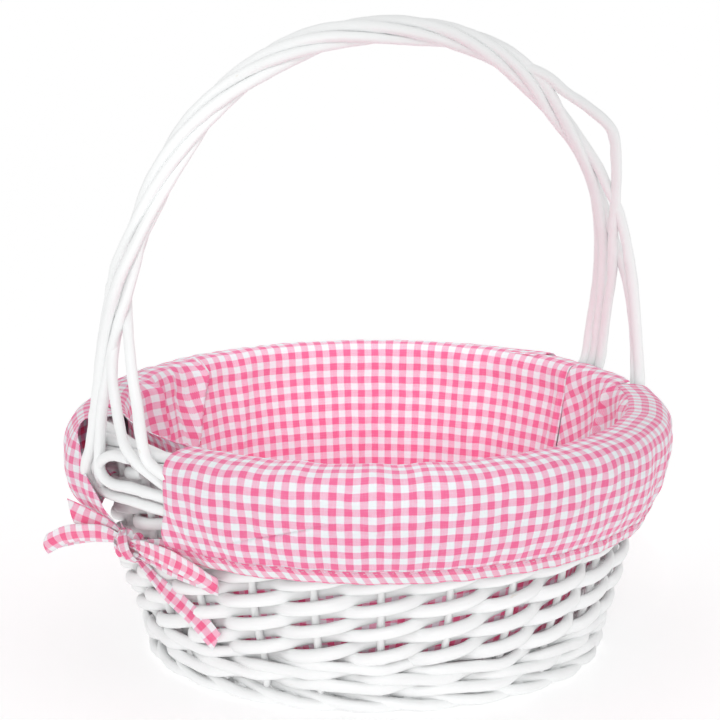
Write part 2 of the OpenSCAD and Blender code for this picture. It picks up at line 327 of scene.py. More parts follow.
def willow(name, paint, worn, seed):
    """White paint over willow: fine grain along each rod, brush marks and small worn places."""
    g = Graph(name)
    place = g.new("ShaderNodeAttribute", 1, {"attribute_name": "grain"})
    fibre = g.noise(g.stretch(place, (40, 1500, 1500)), 1.0, 3.0, 0.6)
    brush = g.noise(g.stretch(place, (14, 240, 240)), 1.0, 2.0)
    patch = g.noise(g.stretch(place, (60 + seed, 210, 210)), 1.0, 4.0, 0.65)
    stroke = g.math("MULTIPLY_ADD", brush, 1.6, -0.3, clamp=True)
    shade = g.mix(stroke, [c * 0.93 for c in paint[:3]] + [1], paint)
    bare = g.math("MULTIPLY_ADD", patch, 14.0, -9.9, clamp=True)
    g.put(g.shader.inputs["Base Color"], g.mix(g.math("MULTIPLY", bare, 0.55), shade, worn))
    g.put(g.shader.inputs["Roughness"], g.math("MULTIPLY_ADD", fibre, 0.25, 0.33))
    height = g.math("ADD", g.math("MULTIPLY", fibre, 0.6), g.math("MULTIPLY", brush, 1.0))
    bump = g.new("ShaderNodeBump", Strength=0.35, Distance=0.0006, Height=height)
    g.put(g.shader.inputs["Normal"], bump)
    return g.material


def gingham(name, white, middle, dark, check):
    """Woven checks: stripes of coloured thread each way, that cross over and under."""
    g = Graph(name)
    uv = g.new("ShaderNodeUVMap", 0, {"uv_map": "cloth"})
    wander = g.new("ShaderNodeTexNoise", 1, Vector=uv, Scale=90.0, Detail=2.0)
    away = g.vector_math("SUBTRACT", wander, (0.5, 0.5, 0.5))
    place = g.vector_math("MULTIPLY_ADD", away, (WANDER, WANDER, 0.0), uv)
    split = g.new("ShaderNodeSeparateXYZ", 0, Vector=place).node
    thread, cover = [], []
    for axis in (0, 1):
        along = split.outputs[axis]
        part = g.math("FRACT", g.math("DIVIDE", along, check * MM))
        off = g.math("ABSOLUTE", g.math("SUBTRACT", part, 0.5))
        cover.append(g.math("MULTIPLY_ADD", off, -22.0, 6.0, clamp=True))
        thread.append(g.math("SINE", g.math("MULTIPLY", along, math.pi / (THREAD * MM))))
    over = g.math("MULTIPLY_ADD", g.math("MULTIPLY", thread[0], thread[1]), 0.3, 0.5, clamp=True)
    across = g.math("MULTIPLY", cover[0], over)
    value = g.math("MULTIPLY_ADD", cover[1], g.math("SUBTRACT", 1.0, over), across)
    for streaks in ((1500, 130, 1), (130, 1500, 1)):
        slub = g.noise(g.stretch(uv, streaks), 1.0, 2.0)
        value = g.math("ADD", value, g.math("MULTIPLY_ADD", slub, 0.3, -0.15), clamp=True)
    ramp = g.nodes.new("ShaderNodeValToRGB")
    ramp.color_ramp.elements[0].color = white
    ramp.color_ramp.elements[1].color = dark
    ramp.color_ramp.elements.new(0.5).color = middle
    g.put(ramp.inputs[0], value)
    g.put(g.shader.inputs["Base Color"], ramp.outputs[0])
    g.shader.inputs["Roughness"].default_value = 0.9
    g.shader.inputs["Subsurface Weight"].default_value = 0.65
    g.shader.inputs["Subsurface Radius"].default_value = (1.0, 0.7, 0.8)
    g.shader.inputs["Subsurface Scale"].default_value = 0.0015
    g.shader.inputs["Sheen Weight"].default_value = 0.15
    g.shader.inputs["Sheen Roughness"].default_value = 0.5
    weave = g.math("MULTIPLY", g.math("ABSOLUTE", thread[0]), g.math("ABSOLUTE", thread[1]))
    bump = g.new("ShaderNodeBump", Strength=0.4, Distance=0.00012, Height=weave)
    g.put(g.shader.inputs["Normal"], bump)
    return g.material


def plain(name, color, roughness, glow):
    g = Graph(name)
    uv = g.new("ShaderNodeTexCoord", 3)
    speck = g.noise(uv, 400.0, 3.0)
    g.put(g.shader.inputs["Base Color"], g.mix(speck, [c * 0.97 for c in color[:3]] + [1], color))
    g.shader.inputs["Roughness"].default_value = roughness
    g.shader.inputs["Emission Color"].default_value = (1, 1, 1, 1)
    g.shader.inputs["Emission Strength"].default_value = glow
    return g.material


PAINT = willow("white_painted_willow", (0.925, 0.935, 0.935, 1), (0.72, 0.66, 0.54, 1), 3)
STAKE_PAINT = willow("white_painted_stake", (0.91, 0.92, 0.92, 1), (0.66, 0.58, 0.45, 1), 9)
GINGHAM = gingham(
    "pink_gingham", (0.86, 0.85, 0.9, 1), (0.9, 0.46, 0.6, 1), (0.9, 0.15, 0.32, 1), CHECK
)
TRIM = gingham(
    "pink_gingham_trim", (0.88, 0.86, 0.9, 1), (0.92, 0.45, 0.58, 1), (0.94, 0.15, 0.31, 1), CHECK
)


# ---- wicker ----


def siding_path(k):
    """A rod that starts at stake k and climbs, in front of one stake and behind the next."""
    rng = np.random.default_rng(50 + k)
    s = np.linspace(-0.25, RAND_SPACES + 0.2, 174)
    drift = 0.35 * np.sin(s * rng.uniform(0.6, 1.1) + rng.uniform(0, 6.28))
    z = RAND_Z + RAND_RISE * np.maximum(0, s) + drift
    c = -np.cos(np.pi * s)
    r = wall_r(z, STEP * (k + s)) + RAND_SWING * c * (1.3 - 0.3 * c * c)
    return ring_point(r, STEP * (k + s), z)


def waling_path(k):
    """In front of two stakes and behind one."""
    lift = WALE_ROUND / 12
    points = []
    for h in range(2 * WALE_SPACES + 1):
        turn = (h // 2 + 2) % 3
        between = h % 2
        out = [[1, 1, -1], [1, 0, 0]][between][turn]
        dz = [[lift, -lift, 0], [0, lift, -lift]][between][turn]
        z = WALE_Z + WALE_ROUND * h / (2 * STAKES)
        angle = STEP * h / 2 - 120 * k
        points.append(ring_point(wall_r(z, angle) + out * WALE_SWING, angle, z + dz))
    return spline(points, 6)


def border_path(k):
    """A rod that makes one turn about the border's centre circle."""
    a = np.linspace(0.6, 4 * STEP - 0.6, 44)
    phase = np.radians(-90 + 360 * a / (4 * STEP))
    return ring_point(
        BORDER_R + BORDER_TWIST * np.cos(phase), STEP * k + a, BORDER_Z + BORDER_TWIST * np.sin(phase)
    )


def foot_path(k):
    """A rod that comes out from under the siding, lies along the foot and is tucked back in."""
    a = np.linspace(0, 1, 44)
    out = np.interp(a, [0, 0.15, 0.45, 0.7, 1], [106.5, 109, 115.4, 115.8, 110])
    z = np.interp(a, [0, 0.2, 0.42, 0.62, 0.8, 1], [8.6, 7.4, 5.2, 2.9, 2.7, 4.6])
    soft = np.ones(9) / 9
    out[4:-4] = np.convolve(out, soft, "valid")
    z[4:-4] = np.convolve(z, soft, "valid")
    return ring_point(out, STEP * k + FOOT_TURN * a, z)


def peg_path(k):
    """The cut end of a rod, that shows as a small bump between two long ones."""
    a = np.linspace(0, 1, 12)
    return ring_point(109 + 7.4 * a, STEP * k + 2 + 7 * a, 5.6 - 3.7 * np.sin(np.pi * a * 0.8) ** 0.8)


def base_stick_path(turn, k, dz):
    """One stick, straight where it crosses the others and fanned out toward both ends."""
    points = [ring_point(r, 180 - 30 * k, BASE_Z) for r in (BASE_REACH, 70, 40)]
    points += [np.array([x, BASE_GAP * k, BASE_Z + dz]) for x in (-16, 16)]
    points += [ring_point(r, 30 * k, BASE_Z) for r in (40, 70, BASE_REACH)]
    c, s = math.cos(math.radians(turn)), math.sin(math.radians(turn))
    return [(c * x - s * y, s * x + c * y, z) for x, y, z in spline(points, 8)]


def pairing_path(way):
    """One rod of the pair that is woven round the base's sticks in a spiral."""
    turned = np.linspace(7.5, 7.5 + 360 * PAIR_ROUNDS, 120 * PAIR_ROUNDS) - 7.5
    s = turned / 30
    r = PAIR_FIRST + PAIR_PITCH * turned / 360 + 1.5 * way * np.sin(np.pi * s)
    return ring_point(r, turned + 7.5, BASE_Z + PAIR_SWING * way * np.cos(np.pi * s))


# The rod that is tucked down over the border at the left foot.
BORDER_WRAP = [
    (-148.8, -13, 120.5), (-150.3, 1.1, 119.4), (-151, 12, 114.5), (-148.1, 21, 106), (-143.5, 26.8, 98),
]


def build_wicker():
    for k in range(STAKES):
        rng = np.random.default_rng(7 + k)
        size = rng.uniform(0.97, 1.04)
        part = tube(siding_path(k), RAND_BUTT * size, RAND_TIP * size, flat=RAND_FLAT)
        rods(f"rand_rod_{k + 1:02d}", [part], PAINT)
    for k in range(3):
        part = tube(waling_path(k), WALE_ROD, WALE_ROD * 0.95, flat=WALE_FLAT)
        rods(f"wale_rod_{k + 1}", [part], PAINT)
    heights = np.linspace(STAKE_LOW[2], STAKE_HIGH[2], 34)
    uprights = [
        tube(ring_point(wall_r(heights, STEP * k), STEP * k + 0.4 * math.sin(5 * k), heights), STAKE_ROD)
        for k in range(STAKES)
    ]
    rods("stakes", uprights, STAKE_PAINT)
    plait = [tube(border_path(k), BORDER_ROD) for k in range(STAKES)]
    wrap = spline(BORDER_WRAP, 8)
    plait += [tube(wrap, WRAP_ROD), tube(wrap * np.array([-1, -1, 1]), WRAP_ROD)]
    rods("border_rods", plait, PAINT)
    foot = []
    for k in range(STAKES):
        foot.append(tube(foot_path(k), FOOT_ROD, flat=FOOT_FLAT))
        foot.append(tube(peg_path(k), PEG_ROD, sides=10))
    rods("foot_rods", foot, PAINT)
    for name, turn, dz in (("base_sticks_lower", 7.5, -BASE_CROSS), ("base_sticks_upper", 97.5, BASE_CROSS)):
        sticks = [tube(base_stick_path(turn, k, dz), BASE_ROD) for k in (-1, 0, 1)]
        rods(name, sticks, STAKE_PAINT)
    for name, way in (("base_weave_lower", -1), ("base_weave_upper", 1)):
        rods(name, [tube(pairing_path(way), PAIR_ROD, sides=10)], PAINT)


# ---- handle ----

HANDLE_SPAN, HANDLE_LOW, HANDLE_TOP, HANDLE_SQUARE = 150, 131, 318, 2.3
HANDLE_ROD, HANDLE_TWIST, HANDLE_TURNS = 2.85, 4.5, 1.85
BUNDLE_START, BUNDLE_END, FIRST_PHASE = 235, 240, -81

# Each rod from its lower end at the left foot up to the bundle, and from the bundle down to its
# lower end at the right foot. The rods are in order round the bundle.
LEFT_LEGS = {
    1: [(-133, 49, 92), (-138, 41, 96), (-143.5, 32, 102), (-147, 27, 109), (-148, 25, 117.2),
        (-148, 23, 127.4), (-148.6, 20, 140.4), (-149.1, 16.5, 156.8), (-148.9, 13, 172.6),
        (-148.2, 9.5, 185.6), (-147.6, 6.5, 196.1), (-146.7, 4, 206.3), (-144.8, 2, 216.3)],
    2: [(-134, -56, 112), (-141, -46, 116), (-147.9, -34, 122.4), (-150, -31, 130),
        (-150.2, -28, 138.8), (-148.4, -22, 149.2), (-147.7, -16, 163.2), (-145.5, -9, 176.4),
        (-142.1, -1, 186.9), (-139.4, 5, 195.4), (-138.4, 7.5, 204.7), (-139, 8, 214.5)],
    3: [(-136, -49, 107), (-142, -38, 112), (-149, -26.5, 119.8), (-152.8, -18, 127.5),
        (-152.5, -12, 135.6), (-151.6, -6, 146.3), (-150.4, 0, 160.3), (-147.7, 2.5, 174.5),
        (-143.9, 3, 186.3), (-140.9, 3, 195.9), (-138, 3, 205.5), (-135.1, 3, 215.1)],
    4: [(-135, -46, 105), (-141.3, -30.4, 105.1), (-145.3, -8, 104.4), (-148, 8, 103.4),
        (-150.2, 15.5, 108.5), (-151, 14, 120.1), (-151.3, 12, 130.2), (-151.4, 9, 143),
        (-149.8, 6, 159), (-148.5, 2, 174.6), (-147, -2, 187.6), (-144.5, -4, 197.6),
        (-141.3, -4, 207.1), (-137.6, -3, 216.4), (-134.7, -2, 225.7)],
    5: [(-135, -44, 97.5), (-141.2, -28.1, 98), (-144.3, -6, 97.4), (-143.4, 18, 94.6),
        (-144.2, 32, 95.8), (-148.6, 33.5, 102.5), (-151.6, 28, 109.5), (-152, 22, 118.7),
        (-152.4, 18, 129.2), (-152.4, 14, 142.1), (-151.8, 10.5, 158.4), (-151.3, 7, 174),
        (-151.2, 2, 187.3), (-151, -3, 198.1), (-148.8, -6, 208.3), (-144.8, -8, 218)],
}
RIGHT_LEGS = {
    1: [(142.2, -1, 216.4), (145.6, -4, 202), (150.3, -7, 185.8), (153, -11, 168.3),
        (154.2, -14, 146.9), (153.2, -17, 126.2), (150.6, -18, 112), (147.4, -10, 104.5),
        (145.3, 6.9, 104.8), (141.3, 30.4, 105.1), (135, 46, 105)],
    2: [(126, 2, 248), (135.6, 2, 229.9), (142, 4.5, 212.9), (146.8, 9, 188.3), (149, 15, 164.2),
        (149.5, 20, 145.3), (149.4, 24, 127), (147, 31, 119), (141.5, 42, 113), (135, 53, 109)],
    3: [(129, -3, 239), (136, -1.5, 224), (142.6, 0, 200), (146.4, 5, 176), (148.8, 11, 152),
        (149.8, 17.5, 127.5), (148, 26, 120), (142.6, 38, 110), (136, 49, 104)],
    4: [(97.1, -5, 290.8), (110.2, -9, 280.4), (122.6, -14, 271.2), (134.1, -18, 259.3),
        (138.5, -16, 242.9), (141, -13, 227.4), (143.3, -8, 203.4), (146.7, -3, 178.8),
        (148, 2.5, 160.4), (149.4, 7.5, 141.7), (150.4, 11.5, 127.5), (150.4, 18, 117),
        (145, 33, 106), (138, 45, 99)],
    5: [(131.5, -5.5, 243), (139.4, -9, 225.9), (144, -12, 214.2), (147.4, -15, 196.6),
        (149.9, -17.5, 175.2), (150.6, -20.5, 151.5), (150.4, -24, 129.7), (148.5, -27, 114),
        (145.5, -31, 101), (143.9, -18, 95), (144.3, 3.9, 97.7), (141.2, 28.1, 98),
        (135, 44, 97.5)],
}


def arch(n):
    """The arch's centreline from its left end to its right end."""
    a = np.radians(np.linspace(180, 0, n))
    e = 2 / HANDLE_SQUARE
    x = HANDLE_SPAN * np.sign(np.cos(a)) * np.abs(np.cos(a)) ** e
    z = HANDLE_LOW + (HANDLE_TOP - HANDLE_LOW) * np.abs(np.sin(a)) ** e
    return np.stack([x, 0 * x, z], axis=1)


def at_height(line, side, z):
    """Index of the line's point nearest to a height, on the left (-1) or right (1)."""
    return np.argmin(np.where(line[:, 0] * side > 0, abs(line[:, 2] - z), 999))


def strand(k):
    """One rod of the handle: a leg, its turns about the arch, and the other leg."""
    line = even(arch(400), 3)
    t = unit(np.gradient(line, axis=0))
    out = unit(np.cross(t, [0, 1, 0]))
    left, right = np.array(LEFT_LEGS[k], float), np.array(RIGHT_LEGS[k], float)
    low = at_height(line, -1, BUNDLE_START)
    high = at_height(line, 1, BUNDLE_END)
    n = np.arange(len(line))
    phase = np.radians(FIRST_PHASE + 72 * k - 360 * HANDLE_TURNS * (n - low) / (high - low))
    loose = 1 + 0.12 * np.sin(n / 17 + 2 * k)
    turns = line + HANDLE_TWIST * loose[:, None] * (
        np.cos(phase)[:, None] * out + np.sin(phase)[:, None] * np.array([0, 1.0, 0])
    )
    first = at_height(line, -1, left[-1][2]) + 7
    last = at_height(line, 1, right[0][2]) - 7
    middle = turns[first : last + 1 : 6]
    return even(spline(np.vstack([left, middle, right]), 10), 2.6)


def build_handle():
    for k in range(1, 6):
        part = tube(strand(k), HANDLE_ROD, HANDLE_ROD * 0.97, sides=14, lump=0.04)
        rods(f"handle_rod_{k}", [part], PAINT)


# ---- liner ----

MM_PER_DEGREE = 2.2
RIM_INSIDE, LIP_Z, LIP_RISE, LIP_REACH = 126.4, 118.5, 10.1, 4.4
WALL_TOP, FLOOR_SEAM_R, ROLL_REACH = 118, 105.5, 12


def waves(seed, count, low, high, size):
    """A sum of soft ridges across the width of a cloth, each at its own angle."""
    rng = np.random.default_rng(seed)
    kinds = [
        (rng.uniform(low, high), rng.uniform(-0.35, 0.35), rng.uniform(0, 6.28), rng.uniform(0.4, 1))
        for _ in range(count)
    ]

    def height(degrees, across):
        total = 0
        for period, slant, phase, part in kinds:
            total = total + part * np.sin(2 * np.pi * (degrees + slant * across) / period + phase)
        return size * total / count

    return height


def along_fold(degrees, z, start, end):
    """How far along a fold between two (degrees, height) places, and how far beside it in mm."""
    (a0, z0), (a1, z1) = start, end
    f = np.clip((z - z0) / (z1 - z0), -0.1, 1.1)
    return f, (degrees - (a0 + (a1 - a0) * f)) * MM_PER_DEGREE


def crease(degrees, z, start, end, depth, width):
    """A fold that is the same on both sides. It is negative when it goes inward."""
    f, away = along_fold(degrees, z, start, end)
    ends = np.clip(1.3 - np.abs(f - 0.5) * 1.6, 0, 1)
    return depth * ends * hump(away, width)


def pleat(degrees, z, start, end, depth, gentle, steep):
    """A fold that rises gently from one side and drops steeply on the other. Widths in mm."""
    f, away = along_fold(degrees, z, start, end)
    ends = np.clip(1.5 - np.abs(f - 0.5) * 1.9, 0, 1)
    return depth * ends * np.where(away > 0, hump(away, gentle), hump(away, steep))


def turned_checks(degrees, v, turns):
    """Places on the cloth when its checks turn slowly along the wall."""
    turn = np.radians(np.interp(degrees, *turns))
    step = np.gradient(np.radians(degrees[:, 0]))[:, None] * WALL_RADIUS_FOR_CHECKS
    u = np.cumsum(step * np.cos(turn), axis=0) - (v - 60) * np.sin(turn)
    return np.stack([u, np.cumsum(step * np.sin(turn), axis=0) + (v - 60) * np.cos(turn)], axis=-1)


def liner_wall(name, start, end, seed, folds, turns, rolls):
    """A panel of the wall. Its top rolls over the rope by the reach that rolls gives."""
    degrees = np.linspace(start, end, 900)[:, None]
    rise = np.linspace(FLOOR_TOP + 0.4, WALL_TOP, 44)
    lip = np.radians(np.linspace(8, 84, 12))
    roll = np.linspace(0.1, 1, 9)[None]
    z = np.concatenate([rise, LIP_Z + LIP_RISE * np.sin(lip)])[None] + 0 * degrees
    r = np.minimum(wall_r(z, degrees) - LINER_GAP, RIM_INSIDE)
    r[:, len(rise):] = RIM_INSIDE + LIP_REACH * (1 - np.cos(lip))
    soft = waves(seed, 9, 7, 40, 3.0)(degrees, z)
    free = np.clip((z - 27) / 25, 0.1, 1) * np.clip((129 - z) / 12, 0.08, 1)
    r = r - free * (0.9 + np.maximum(soft, -0.9))
    for fold in folds:
        r = r - np.clip((130.5 - z) / 6, 0.25, 1) * pleat(degrees, z, *fold)
    foot = np.clip((33 - z) / 8, 0, 1)
    r = r * (1 - foot) + np.minimum(r, FLOOR_SEAM_R) * foot
    reach = np.interp(degrees, *rolls)
    over = 0.35 * waves(seed + 5, 6, 4, 16, 2.0)(degrees, 20 * roll) * reach / ROLL_REACH
    r = np.hstack([r, r[:, -1:] + reach * roll])
    drop = 0.7 * np.sin(np.pi * roll) - 1.1 * roll**2
    z = np.hstack([z, z[:, -1:] + reach / ROLL_REACH * drop + over])
    lengths = np.hypot(np.diff(r, axis=1), np.diff(z, axis=1))
    v = np.hstack([0 * degrees, np.cumsum(lengths, axis=1)])
    uv = turned_checks(degrees, v, turns)
    return cloth(name, [skin(ring_point(r, degrees, z), uv, CLOTH)], GINGHAM, [name])


# The outer side of both cuffs, as (radius, height) from the rope down to the hem.
CUFF_SIDE = [
    (146.4, 126.3), (150, 122.6), (151.8, 116.5), (151.4, 108), (149.8, 99), (146.8, 89),
    (142.2, 80), (138.8, 73),
]
# The top leads to the side. The edges give heights and the angle at each for both ends. The lift
# raises the first end, a flare stands out (degrees, width, size), and creases are as in crease.
CUFFS = {
    "front": {
        "seed": 61, "lift": 0.0,
        "top": [(129.8, 128.7), (132, 129), (136.5, 128.7), (141.5, 128.1)],
        "edges": (
            ([73, 101, 117, 129], [192.3, 194.9, 196.3, 195.8]),
            ([73, 101, 117, 129], [346.5, 344.2, 343.4, 343]),
        ),
        "flare": [], "creases": [((210, 90), (230, 104.6), -1.5, 2.2)],
    },
    "back": {
        "seed": 67, "lift": 2.2,
        "top": [(130.4, 127.3), (133, 127.4), (137.5, 127.3), (141.5, 127.5)],
        "edges": (
            ([73, 101, 117, 129], [13.2, 15.6, 16.6, 16.4]),
            ([73, 85, 95, 105, 117, 129], [176.5, 174.5, 172, 168.8, 167, 160]),
        ),
        "flare": [(158, 14, 10)], "creases": [((60, 88), (72, 104), -1.3, 2.4)],
    },
}


def cuff_surface(degrees, t, side):
    """Points of a cuff. t is 0 at the rim's inside and 1 at the lower edge."""
    cuff = CUFFS[side]
    seed = cuff["seed"]
    line = even(spline(cuff["top"] + CUFF_SIDE, 8), 0.5)
    s = np.concatenate([[0], np.cumsum(np.linalg.norm(np.diff(line, axis=0), axis=1))])
    r = np.interp(t * s[-1], s, line[:, 0])
    z = np.interp(t * s[-1], s, line[:, 1])
    left, right = [np.interp(z, *edge) for edge in cuff["edges"]]
    spot = left + (right - left) * degrees
    free = np.clip((t - 0.25) * 4, 0.12, 1)
    soft = waves(seed, 8, 6, 34, 2.6)(spot, z) + waves(seed + 1, 6, 3, 9, 1.1)(spot, z)
    rope = 0.45 * np.cos(np.radians(24 * spot)) * hump(z - 122, 9)
    r = r + free * soft + rope
    z = z + (1 - free) * 0.8 * waves(seed + 2, 6, 5, 24, 1.6)(spot, z)
    for place in cuff["creases"]:
        r = r + crease(spot, z, *place)
    z = z + cuff["lift"] * hump(spot - left, 12) * np.clip(1 - 2.6 * t, 0, 1)
    sag = 1.28 * np.sin(np.pi * degrees) * np.clip(t - 0.6, 0, 1)
    for near in (spot - left, right - spot):
        r = r + 1.1 * hump(near, 3) * np.sin(t * 9)
        r = r - 1.6 * hump(near, 9) * np.clip(t - 0.55, 0, 1)
    for at, width, size in cuff["flare"]:
        r = r + size * hump(spot - at, width) * hump(z - 95, 30)
    return r, spot, z - sag, s[-1]


def cloth_distance(spot):
    """How far round the cuff's cloth an angle is."""
    return np.radians(spot) * CUFF_RADIUS_FOR_CHECKS


def build_cuff(side):
    """A cuff, and the hem along its lower edge."""
    degrees = np.linspace(0, 1, 340)[:, None]
    t = np.linspace(0, 1, 74)[None]
    r, spot, z, length = cuff_surface(degrees, t, side)
    u = cloth_distance(spot)
    v = length * t + 0 * degrees
    body = skin(ring_point(r, spot, z), np.stack([u, v + 0.012 * u], axis=-1), CLOTH)
    cuff = cloth(f"cuff_{side}", [body], GINGHAM, [f"cuff_{side}"])
    band = np.linspace(1 - HEM / length, 1.004, 9)[None]
    r, spot, z, _ = cuff_surface(degrees, band, side)
    puff = 0.42 + 0.3 * np.sin(np.pi * (band - band[0, 0]) / (band[0, -1] - band[0, 0]))
    u = cloth_distance(spot)
    pucker = 0.12 * np.sin(u * 2 * np.pi / PUCKER)
    v = length * band + 0 * degrees
    uv = np.stack([u - 0.6 * (v - v[0, 0]) + 2, v * 1.02 + 1.6], axis=-1)
    hem = skin(ring_point(r + puff + pucker, spot, z), uv, CLOTH)
    parts = [hem] + stitches(side, length)
    trim = cloth(f"hem_{side}", parts, TRIM, [f"hem_{side}"])
    return cuff, trim


def stitches(side, length):
    """Small raised stitches in a line just above the hem's fold."""
    row = 1 - (HEM - STITCH_BELOW) / length
    place = np.linspace(0.004, 0.996, 2400)[:, None]
    r, spot, z, _ = cuff_surface(place, np.array([[row]]), side)
    line = even(ring_point(r + STITCH_OUT, spot, z)[:, 0], 0.25)
    return [thread_stitch(line[i : i + 9]) for i in range(0, len(line) - 9, 11)]


def thread_stitch(line):
    """One stitch, as a thin closed tube along the line."""
    t, n, b = frames(line)
    angle = np.linspace(0, 2 * np.pi, 7)[None, :, None]
    thick = STITCH_ROD * np.sin(np.pi * np.linspace(0.04, 0.96, len(line)))[:, None, None] ** 0.4
    points = line[:, None] + thick * (np.cos(angle) * n[:, None] + np.sin(angle) * b[:, None])
    uv = np.zeros(points.shape[:2] + (2,)) + 0.3
    rows, cols = points.shape[:2]
    faces = [
        [i * cols + k, (i + 1) * cols + k, (i + 1) * cols + k + 1, i * cols + k + 1]
        for i in range(rows - 1) for k in range(cols - 1)
    ]
    return points.reshape(-1, 3), faces, uv.reshape(-1, 2)


def build_floor():
    """The round of cloth in the bottom, slightly puckered where it meets the wall."""
    degrees = np.linspace(0, 360, 181)[:, None]
    r = np.linspace(0.4, FLOOR_R - 0.3, 46)[None]
    soft = waves(31, 7, 20, 90, 1.0)(degrees * 2, r * 0.6)
    z = FLOOR_TOP - 0.4 + np.clip(r / 60, 0, 1) * (0.25 + 0.25 * soft)
    pucker = (1 + np.cos(np.radians(degrees * 40))) / 2
    z = z + 0.5 * np.exp(-((r - 104) ** 2) / 20) * pucker
    points = ring_point(r + 0 * degrees, degrees, z)
    c, s = math.cos(math.radians(12)), math.sin(math.radians(12))
    x, y = points[..., 0], points[..., 1]
    uv = np.stack([x * c - y * s, x * s + y * c], axis=-1)
    return cloth("liner_floor", [skin(points, uv, CLOTH)], GINGHAM, ["liner_floor"])


# ---- bows ----


def ribbon(points, hint, width=RIBBON, pinch=(), cup=0.5, seed=0, start=0.0, cut=0.0, tip=0.0):
    """A strip of cloth along a line. hint is the way its width lies, cut slants its far end, and
    tip rounds the end of a loop. Each pinch narrows it: (place, reach, width that is kept)."""
    line = even(spline(points, 10), 1.0)
    n = len(line)
    t = unit(np.gradient(line, axis=0))
    f = np.linspace(0, 1, n)
    hints = np.array(hint, float)
    if hints.ndim == 2:
        at = np.linspace(0, 1, len(hints))
        hints = np.stack([np.interp(f, at, hints[:, i]) for i in range(3)], axis=1)
    else:
        hints = np.broadcast_to(hints, (n, 3))
    w = unit(hints - np.sum(hints * t, axis=1, keepdims=True) * t)
    face = np.cross(t, w)
    wide = np.full(n, width)
    for at, reach, keep in pinch:
        wide = wide * (1 - (1 - keep) * hump(f - at, reach))
    across = np.linspace(-0.5, 0.5, 9)
    rng = np.random.default_rng(400 + seed)
    s = np.arange(n) * 1.0
    ripple = 0.35 * np.sin(s[:, None] / rng.uniform(3, 5) + 5 * across[None] + rng.uniform(0, 6))
    lift = cup * (across[None] ** 2 * 4 - 0.5) + ripple
    squeeze = np.clip(1 - wide / width, 0, 1)[:, None] * 1.6 * np.cos(across[None] * 19)
    slant = cut * across[None] * np.clip((f - 0.6) / 0.4, 0, 1)[:, None]
    points = (
        line[:, None]
        + (wide[:, None] * across[None])[..., None] * w[:, None]
        + (lift + squeeze)[..., None] * face[:, None]
        + slant[..., None] * t[:, None]
    )
    fold = tip * (2 * across[None]) ** 2 * hump(f - 0.47, 0.09)[:, None]
    points = points - fold[..., None] * unit(line[n // 2] - line[0])
    uv = np.stack([s[:, None] + start + slant, (across[None] + 0.5) * width + 0 * s[:, None]], axis=-1)
    return skin(points, uv, CLOTH)


UP = (0, 0, 1)
STRAP_FRONT = [(-133.6, -36.5, 78.5), (-137, -27, 77.6), (-140.2, -16, 76), (-142, -6, 74)]
LOOP_FRONT = [
    (-144.5, -2, 75), (-144.2, -17, 76), (-141.2, -33, 75.2), (-137, -46, 72.6), (-132.4, -56, 69),
    (-128.4, -62.5, 65.4), (-125.6, -60, 63.6), (-126.2, -53.8, 64.4), (-130, -45, 66),
    (-135, -33, 68), (-139, -19, 69.6), (-142, -6, 71),
]
TAIL_FRONT = [
    (-142.5, 0, 71), (-139.5, -2.5, 66.5), (-136, -6.5, 60.5), (-132.4, -15.5, 53.5), (-128.6, -29, 47),
    (-124, -40, 39.4), (-119.6, -46.5, 31.6),
]
STRAP_BACK = [(-141.5, 12, 77.8), (-142.4, 8, 77), (-143, 4, 75.6), (-143.2, 1, 74.6)]
LOOP_BACK = [
    (-144.5, -1, 75.2), (-149.5, 11, 76.6), (-156, 24, 75.4), (-161.5, 35.5, 72), (-166, 43, 67.4),
    (-165.6, 48, 64.6), (-160.5, 47, 66.4), (-154.5, 37, 70.2), (-148.4, 22, 73.8),
    (-143.4, 6, 74.4),
]
TIP_BACK = [(-142, 3, 76.4), (-146.5, 13, 79), (-152, 26, 81.6), (-157, 36, 84)]
LOOP_SIDE = [
    (-144.5, 2, 75), (-144.2, 14, 77.6), (-142.4, 26, 78), (-139.6, 36, 76), (-136.4, 43.5, 72.6),
    (-133.4, 44.5, 69.6), (-133.8, 38, 70), (-137, 27, 71.2), (-139.6, 16, 71.6), (-142, 5, 71.4),
]
TIP_SIDE = [(-142, 3, 74), (-141, 12, 68.5), (-138.4, 21, 62), (-134.6, 27, 54)]
KNOT, KNOT_TURN = (-143.2, -1.4, 73.4), 35
KNOT_DEEP, KNOT_WIDE, KNOT_TALL, KNOT_TILT = 5.0, 7.4, 6.6, 0.35
KNOT_BAND = [
    (1.5, 3.5, 7.4), (-3.4, 2.6, 6.2), (-6.6, 0.6, 2.0), (-6.8, -1.4, -2.6), (-3.6, -3.2, -6.4),
    (1.2, -4, -7.2),
]


